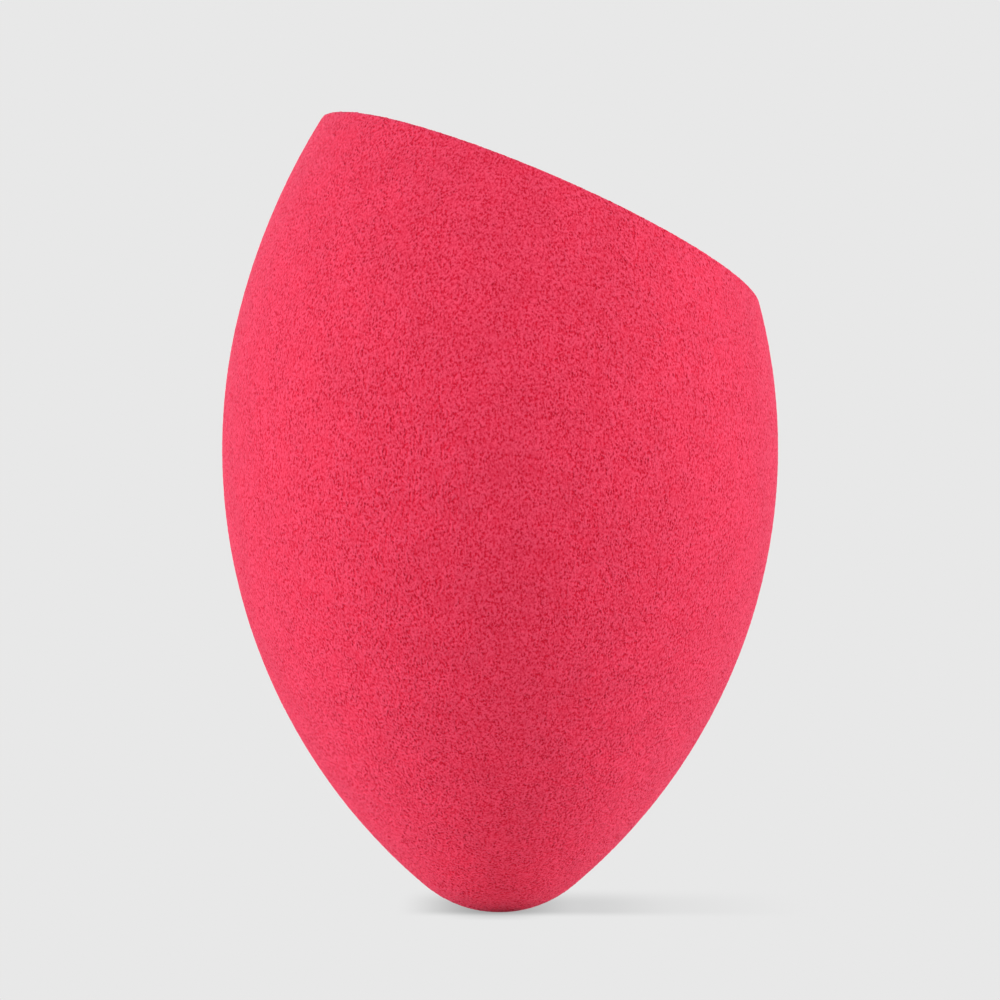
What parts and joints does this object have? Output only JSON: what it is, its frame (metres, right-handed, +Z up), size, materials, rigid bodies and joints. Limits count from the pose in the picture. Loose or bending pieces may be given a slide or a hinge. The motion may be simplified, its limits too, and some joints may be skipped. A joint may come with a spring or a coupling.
{
  "type": "makeup sponge",
  "caption": "Soft foam makeup sponge: a round belly narrowing to a small rounded tip it stands on, with a slanted flat face across the wide end.",
  "frame": {"origin": "centre of the small standing flat under the tip, on the middle line of the block", "axes": "+Z up the middle line from the tip to the wide end, +X towards the low side of the slanted face"},
  "size_m": [0.042, 0.042, 0.0602],
  "materials": {
    "foam": "matte"
  },
  "bodies": {
    "root": {"foam_body": "foam"}
  },
  "joints": []
}
